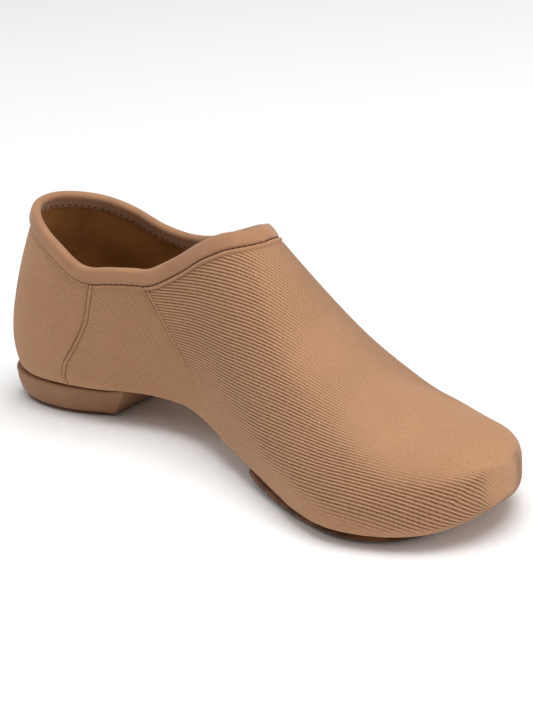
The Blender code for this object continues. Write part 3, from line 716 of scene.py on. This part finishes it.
binding = {
    "columns": (60, 26, 70), "rows": (0.0, 0.4, 1.0, 1.8, 2.7, 3.5, 4.0, 4.3, 4.5, 4.8, 5.1),
    "outer": ((4.5, -0.30), (4.5, 0.15), (4.3, 0.55), (4.0, 0.80), (3.5, 0.96), (2.7, 1.06), (1.8, 1.10),
              (1.0, 1.10), (0.4, 1.07)),
    "radius": 1.90, "middle": -0.85, "turns": 14,
    "inner": ((0.4, -2.74), (1.0, -2.72), (1.8, -2.68), (2.7, -2.64), (3.5, -2.62), (4.0, -2.62),
              (4.3, -2.60), (4.8, -2.50), (5.1, -2.25), (5.1, -1.60)),
}


def collarRows(counts, rows):
    # surface points and normals under the collar's edge, all round, lines by rows
    sides = []
    for side in (1, -1):
        specs = lineSpecs(side, counts)
        apart = np.diff([-1.0] + [spec[0] for spec in specs]) > 1e-5
        specs = [spec for spec, kept in zip(specs, apart) if kept]
        place, angle, _below, _share = sheetOn(side, specs, rows, 1)
        place, angle = place[:, :len(rows)], angle[:, :len(rows)]
        sides.append((lastPoint(place, angle, side), lastNormal(place, angle, side)))
    points, normals = [np.concatenate([outer, inner[-2:0:-1]]) for outer, inner in zip(*sides)]
    for k in (0, len(sides[0][0]) - 1):
        normals[k, :, 1] = 0.0
        normals[k] = unit(normals[k])
    return points, normals


def collarFrames(points, normals):  # the way up at the collar's edge
    edge = points[:, 0]
    along = unit(np.roll(edge, -1, axis=0) - np.roll(edge, 1, axis=0))
    up = np.cross(normals[:, 0], along)
    up *= np.sign(((points[:, 0] - points[:, 2]) * up).sum(axis=1, keepdims=True))
    return unit(up)


def buildBinding(look):
    rows = list(look["rows"])
    points, normals = collarRows(look["columns"], rows)
    up = collarFrames(points, normals)

    def leg(pairs):  # lines at a depth below the edge and a height over the last
        return [points[:, rows.index(deep)] + normals[:, rows.index(deep)] * out * mm for deep, out in pairs]

    roll = []
    for turn in np.linspace(0.0, pi, look["turns"]):
        out = look["middle"] + look["radius"] * np.cos(turn)
        rise = look["radius"] * np.sin(turn)
        roll.append(points[:, 0] + normals[:, 0] * out * mm + up * rise * mm)
    section = leg(look["outer"]) + roll + leg(look["inner"])
    ring = np.array(section + section[:1]).transpose(1, 0, 2)
    ring = np.concatenate([ring, ring[:1]])
    piece = gridPiece("collar_band", ring, band, ["collar_binding"])
    return piece, points, normals


bandPiece, collarPoints, collarNormals = buildBinding(binding)
print("collar band:", len(bandPiece.data.polygons), "faces")


def stitchRow(name, spots, look):
    # small sewn marks, one ball of thread each, stretched along the row
    centers, alongs, normals = [np.concatenate(part) for part in zip(*spots)]
    bm = bmesh.new()
    for center, along, normal in zip(centers, alongs, normals):
        side = np.cross(normal, along)
        size = look["size"]
        turn = Matrix([along * size[0], side * size[1], normal * size[2]]).transposed().to_4x4()
        turn.translation = Vector(center + shift)
        bmesh.ops.create_icosphere(bm, subdivisions=1, radius=mm, matrix=turn)
    bmesh.ops.recalc_face_normals(bm, faces=bm.faces[:])
    return finishPiece(name, bm, look["thread"])


def evenSpots(points, normals, spacing):
    # places, ways along and normals at even steps in mm along a line of points
    run = walked(points) / mm
    at = np.arange(0.5 * spacing, run[-1], spacing)
    reach = 0.2

    def sample(where, values):
        return np.stack([np.interp(where, run, values[:, k]) for k in range(3)], axis=1)

    centers, facing = sample(at, points), sample(at, normals)
    along = unit(sample(at + reach, points) - sample(at - reach, points))
    return centers, along, unit(facing - along * (facing * along).sum(axis=1, keepdims=True))


seamStitches = {
    "size": (0.34, 0.22, 0.16), "slot": "tan_twill", "thread": seamThread,
    "ahead": (1.62, 1.45), "spacing": (1.25, 1.9), "sink": -0.02, "start": 0.06, "reach": (0.93, 0.80),
}
bandStitches = {
    "size": (0.75, 0.26, 0.22), "slot": "tan_binding", "thread": darkThread,
    "columns": (12, 10, 60), "from": 0.215, "spacing": 2.3, "sink": 0.25,
}
innerStitches = {
    "size": (0.80, 0.42, 0.30), "slot": "tan_binding", "thread": darkThread,
    "spacing": 2.7, "row": 3.5, "out": -2.66,
}


def sewSeams(look):
    spots = []
    for side in (1, -1):
        for seam in (1, 2):
            spec = besideSeam(seam, side, look["ahead"][seam - 1])
            place, angle = lineOn(spec, side, np.linspace(look["start"], look["reach"][seam - 1], 90))
            normal = lastNormal(place, angle, side)
            lift = (seam - 1) * upperCloth["step"] + look["sink"]
            points = lastPoint(place, angle, side) + normal * lift * mm
            spots.append(evenSpots(points, normal, look["spacing"][seam - 1]))
    return stitchRow("seam_stitches", spots, look)


def sewBand(look):
    # dashes in the groove under the band, from the quarter's front round the throat
    spots = []
    for side in (1, -1):
        specs = [spec for spec in lineSpecs(side, look["columns"]) if spec[0] > look["from"]]
        place, angle, _below, _share = sheetOn(side, specs, (0.0, upperCloth["bandEdge"]), 1)
        normal = lastNormal(place[:, 1], angle[:, 1], side)
        points = lastPoint(place[:, 1], angle[:, 1], side) + normal * look["sink"] * mm
        spots.append(evenSpots(points, normal, look["spacing"]))
    return stitchRow("band_stitches", spots, look)


def sewInside(look, points, normals):
    row = list(binding["rows"]).index(look["row"])
    line = points[:, row] + normals[:, row] * look["out"] * mm
    line = np.concatenate([line, line[:1]])
    facing = np.concatenate([normals[:, row], normals[:1, row]]) * -1.0
    return stitchRow("inner_stitches", [evenSpots(line, facing, look["spacing"])], look)


sewSeams(seamStitches)
sewBand(bandStitches)
sewInside(innerStitches, collarPoints, collarNormals)
print("stitches sewn")


lining = {
    "stations": 110, "rows": 46, "crowd": 0.9, "inward": 1.25 * mm, "thickness": 0.7 * mm, "weld": 0.6 * mm,
}


def buildLining(look):
    sides = []
    for side in (1, -1):
        place = placeOf(np.linspace(0.0, 1.0, look["stations"]))
        share = np.linspace(0.0, 1.0, look["rows"])
        top = np.where(place < last["throatPlace"] / last["length"], collarAngle(place, side), pi / 2)
        angle = -pi / 2 + (top[:, None] + pi / 2) * share[None] ** look["crowd"]
        place = np.repeat(place[:, None], len(share), axis=1)
        inward = look["inward"] + tuckAt(place, angle)
        points = lastPoint(place, angle, side) - lastNormal(place, angle, side) * inward[..., None]
        points[:, 0, 1] = axisAt(place[:, 0])
        sides.append(points)
    whole = np.concatenate([sides[0], sides[1][::-1]], axis=0)
    return gridPiece("upper_lining", whole, liningCloth, ["upper"],
                     thickness=look["thickness"], weld=look["weld"])


liningPiece = buildLining(lining)
print("lining:", len(liningPiece.data.polygons), "faces")


insole = {
    "wall": 2.0, "clear": 0.5, "lift": 2.2, "thickness": 2.0, "short": 1.5, "blunt": 0.04, "edge": -1.0,
    "stations": 120, "rows": 18,
}


def buildInsole(look):
    places = placeOf(np.linspace(look["blunt"], 1.0 - look["blunt"], look["stations"]))
    angles = np.linspace(-pi / 2, look["edge"], look["rows"])
    gridPlace, gridAngle = np.meshgrid(places, angles, indexing="ij")
    sheet = []
    for side in (1, -1):
        points = lastPoint(gridPlace, gridAngle, side)
        inward = (look["wall"] + look["clear"]) * mm + tuckAt(gridPlace, gridAngle)
        points = points - lastNormal(gridPlace, gridAngle, side) * inward[..., None]
        points[:, 0, 1] = axisAt(places)
        points[..., 0] -= look["short"] * mm * gridPlace
        points[..., 2] += look["lift"] * mm
        sheet.append(points)
    whole = np.concatenate([sheet[0][:, ::-1], sheet[1][:, 1:]], axis=1)
    return gridPiece("sock_lining", whole, liningCloth, ["insole"],
                     thickness=look["thickness"] * mm)


buildInsole(insole)


def underside(x, y):  # height of the last's underside, in metres
    x, y = np.broadcast_arrays(np.asarray(x, float), np.asarray(y, float))
    place = x / last["length"]
    for _ in range(5):
        place = place.clip(0.001, 0.999)
        bottom, widest, _top = levels(place)
        off = y - axisAt(place)
        half = np.where(off > 0.0, halfWidth(place, 1), halfWidth(place, -1))
        reach = (np.abs(off) / half).clip(0.0, 0.998)
        z = widest - (widest - bottom) * (1.0 - reach ** last["edgeRound"]) ** (1.0 / last["edgeRound"])
        place = (x - leanAt(place, z)) / last["length"]
    return z


heelBlock = {
    "back": -0.6, "breast": 0.252, "inset": 5.25, "widest": 0.62, "round": 2.3, "narrowing": 3.5,
    "points": 44, "crowd": 1.6, "narrowCurve": 1.5, "breastPoints": 13,
    "slant": 8.5, "taper": 2.0, "rim": 1.6, "gap": 0.3, "crispFront": (0.90, 0.985), "follow": 0.7,
    "wall": ((3.0, 1.5), (1.3, 1.5), (0.75, 1.7), (0.3, 2.2), (-0.15, 3.2), (-0.6, 4.6), (-0.95, 6.4),
             (-1.15, 8.4), (-1.2, 9.8)),  # inset and level
    "top": ((-1.2, 1.30), (-1.18, 0.80), (-1.02, 0.36), (-0.72, 0.10), (-0.3, 0.0), (0.5, 0.0),
            (1.4, 0.0), (2.8, 0.0), (4.5, 0.0)),  # inset and drop below the rim
    "lift": ((2.6, 0.0), (1.4, 0.0), (1.1, 0.15), (0.95, 0.6), (1.05, 1.05), (1.3, 1.2), (2.6, 1.2)),
    "rough": 0.05,
}


def heelOutline(look):  # plan of the block's top in mm, from the back round by the breast
    end = look["breast"] * last["length"] / mm
    half = last["heelWidth"] / 2 / mm - look["inset"]
    share = np.linspace(0.0, 1.0, look["points"]) ** look["crowd"]
    x = look["back"] + (end - look["back"]) * share
    widest, power = look["widest"], look["round"]
    rounded = half * (1.0 - (1.0 - (share / widest).clip(0, 1)) ** power) ** (1.0 / power)
    past = ((share - widest) / (1.0 - widest)).clip(0, 1)
    narrow = half - look["narrowing"] * past ** look["narrowCurve"]
    y = np.where(share < widest, rounded, narrow)
    breast = np.linspace(1.0, -1.0, look["breastPoints"])[1:-1] * y[-1]
    near = list(zip(x, y))
    far = [(a, -b) for a, b in near[:0:-1]]
    return np.array(near + [(end, b) for b in breast] + far)


def insetRing(ring, amount):
    along = np.roll(ring, -1, axis=0) - np.roll(ring, 1, axis=0)
    normal = unit(np.stack([along[:, 1], -along[:, 0]], axis=1))
    outward = np.sign(((ring - ring.mean(axis=0)) * normal).sum(axis=1).mean())
    return ring - outward * normal * amount


def heelAt(look, ring, level):  # the plan carried down to a level in mm
    seat = last["seatLevel"] / mm
    end = look["breast"] * last["length"] / mm
    half = last["heelWidth"] / 2 / mm - look["inset"]
    drop = (seat - level) / seat
    along = ((ring[:, 0] - look["back"]) / (end - look["back"])).clip(0, 1.05)
    x = ring[:, 0] - drop * look["slant"] * along ** 2
    middle = axisAt(ring[:, 0] * mm / last["length"]) / mm
    y = middle + ring[:, 1] * (1.0 - drop * look["taper"] / half)
    return np.stack([x, y, np.broadcast_to(level, x.shape)], axis=1)


def ringPiece(name, rings, material, nodes):
    # rings of points in mm, closed round and capped at both ends
    rings = np.array(rings)
    ring = np.concatenate([rings, rings[:, :1]], axis=1).transpose(1, 0, 2) * mm
    bm = gridMesh(ring)
    bmesh.ops.remove_doubles(bm, verts=bm.verts[:], dist=0.005 * mm)
    rims = [edge for edge in bm.edges if edge.is_boundary]
    bmesh.ops.holes_fill(bm, edges=rims, sides=0)
    bmesh.ops.triangulate(bm, faces=[face for face in bm.faces if len(face.verts) > 4])
    bmesh.ops.recalc_face_normals(bm, faces=bm.faces[:])
    piece = finishPiece(name, bm, material, nodes)
    piece.data.set_sharp_from_angle(angle=0.7)
    return piece


def heelRing(look, plan, inset, level):  # a fuller wall that keeps the breast where it is
    ring, front = heelAt(look, insetRing(plan, inset), level), heelAt(look, plan, level)
    ahead = ease(plan[:, 0] / plan[:, 0].max(), *look["crispFront"])[:, None]
    return ring * (1.0 - ahead) + front * ahead


def buildHeel(look):
    plan = heelOutline(look)
    rings = [heelRing(look, plan, inset, level) for inset, level in look["wall"]]
    seat = last["seatLevel"] / mm
    for inset, drop in look["top"]:
        outside = inset < 0.0
        ring = heelRing(look, plan, inset, seat) if outside else heelAt(look, insetRing(plan, inset), seat)
        x, y = ring[:, 0] * mm, ring[:, 1] * mm
        drawn = tuckAt(x / last["length"], -pi / 4) / mm if inset < 1.0 else 0.0
        floor = underside(x, y) / mm - look["gap"] + look["follow"] * drawn
        ring[:, 2] = np.minimum(floor, seat + look["rim"]) - drop
        rings.append(ring)
    return ringPiece("heel_block", rings, heelFoam, ["heel"])


def buildLift(look):
    plan = heelOutline(look)
    rough = np.random.default_rng(7).normal(0.0, look["rough"], len(plan))
    rings = []
    for inset, level in look["lift"]:
        ring = heelAt(look, insetRing(plan, inset), level)
        ring[:, 1] += rough
        rings.append(ring)
    return ringPiece("heel_suede", rings, suede, ["heel_lift"])


buildHeel(heelBlock)
buildLift(heelBlock)
print("heel made")


patch = {
    "places": (0.560, 0.911), "inset": (1.6, 5.6), "insetPlaces": (0.57, 0.76), "corner": (12.0, 5.0),
    "thick": 2.1, "gap": 0.3, "ground": 0.4, "stations": 140, "rows": 80,
}


def buildPatch(look):
    start, end = look["places"]
    place = start + (end - start) * placeOf(np.linspace(0.0, 1.0, look["stations"]))
    along = (2.0 * place - start - end) / (end - start)
    power = np.where(along < 0.0, look["corner"][0], look["corner"][1])
    corner = (1.0 - np.abs(along).clip(0, 1) ** power) ** (1.0 / power)
    wide, narrow = look["inset"]
    inset = wide + (narrow - wide) * ease(place, *look["insetPlaces"])
    share = np.sin(np.linspace(-pi / 2, pi / 2, look["rows"]))
    half = np.where(share[None] > 0, halfWidth(place, 1)[:, None], halfWidth(place, -1)[:, None])
    y = axisAt(place)[:, None] + share[None] * (half - inset[:, None] * mm) * corner[:, None]
    x = np.repeat(last["length"] * place[:, None], look["rows"], axis=1)
    z = underside(x, y) - (look["gap"] + look["thick"] + look["ground"]) * mm
    points = np.stack([x, y, np.maximum(z, 0.0)], axis=-1)
    return gridPiece("forefoot_suede", points[::-1], suede, ["forefoot_sole"],
                     thickness=(look["thick"] + look["ground"] * 0.5) * mm, weld=0.02 * mm)


buildPatch(patch)
print("forefoot patch made")


camera = {
    "azimuth": 42.92, "elevation": 22.29, "roll": -4.35, "distance": 0.87467, "focal": 2280.0,
    "target": (0.124, 0.0, 0.035), "targetPixel": (259.04, 360.92), "picture": (533, 711),
    "sensor": 36.0, "reach": 20.0,
}


def addCamera(look):
    azimuth, elevation, roll = np.radians([look["azimuth"], look["elevation"], look["roll"]])
    level = np.cos(elevation)
    back = np.array([np.sin(azimuth) * level, -np.cos(azimuth) * level, np.sin(elevation)])
    right = unit(np.cross([0.0, 0.0, 1.0], back))
    up = np.cross(back, right)
    turnedRight = right * np.cos(roll) + up * np.sin(roll)
    turnedUp = up * np.cos(roll) - right * np.sin(roll)
    data = bpy.data.cameras.new("photoCamera")
    viewer = addObject("photoCamera", data)
    width, height = look["picture"]
    matrix = Matrix((turnedRight, turnedUp, back)).transposed().to_4x4()
    matrix.translation = Vector(np.array(look["target"]) + shift + back * look["distance"])
    viewer.matrix_world = matrix
    data.sensor_width = look["sensor"]
    data.lens = look["focal"] / height * data.sensor_width
    data.shift_x = (width / 2 - look["targetPixel"][0]) / height
    data.shift_y = (look["targetPixel"][1] - height / 2) / height
    data.clip_end = look["reach"]
    bpy.context.scene.camera = viewer


addCamera(camera)

studio = {
    "floor": 0.90, "sky": 0.36, "floorSize": 12.0, "floorLevel": -0.1 * mm,
    "floorFinish": (0.9, 0.1), "aim": (0.0, 0.0, 0.04),
    "softboxes": {  # place, size and power
        "topSoftbox": ((0.32, 0.0, 1.6), 1.3, 25.0),
        "leftSoftbox": ((-1.1, -0.7, 0.9), 0.9, 3.6),
        "frontSoftbox": ((1.4, 0.2, 0.5), 0.9, 6.5),
    },
}


def addSoftbox(name, place, size, power, aim):
    data = bpy.data.lights.new(name, "AREA")
    data.energy = power
    data.size = size
    lamp = addObject(name, data)
    lamp.location = place
    lamp.rotation_euler = (Vector(aim) - Vector(place)).to_track_quat("-Z", "Y").to_euler()


def addStudio(look):
    bm = bmesh.new()
    bmesh.ops.create_grid(bm, x_segments=1, y_segments=1, size=look["floorSize"] / 2)
    bmesh.ops.translate(bm, verts=bm.verts[:], vec=(0.0, 0.0, look["floorLevel"]))
    mesh = bpy.data.meshes.new("studio_floor")
    bm.to_mesh(mesh)
    bm.free()
    material, _tree, shader = newMaterial("paleFloor")
    shader.inputs["Base Color"].default_value = (look["floor"],) * 3 + (1.0,)
    setFinish(shader, *look["floorFinish"])
    mesh.materials.append(material)
    addObject("studio_floor", mesh)
    world = bpy.data.worlds.new("studioSky")
    world.use_nodes = True
    sky = world.node_tree.nodes["Background"]
    sky.inputs["Color"].default_value = (1.0, 1.0, 1.0, 1.0)
    sky.inputs["Strength"].default_value = look["sky"]
    bpy.context.scene.world = world
    for name, (place, size, power) in look["softboxes"].items():
        addSoftbox(name, place, size, power, look["aim"])
    bpy.context.scene.view_settings.view_transform = "Standard"


addStudio(studio)
print("camera and studio set")
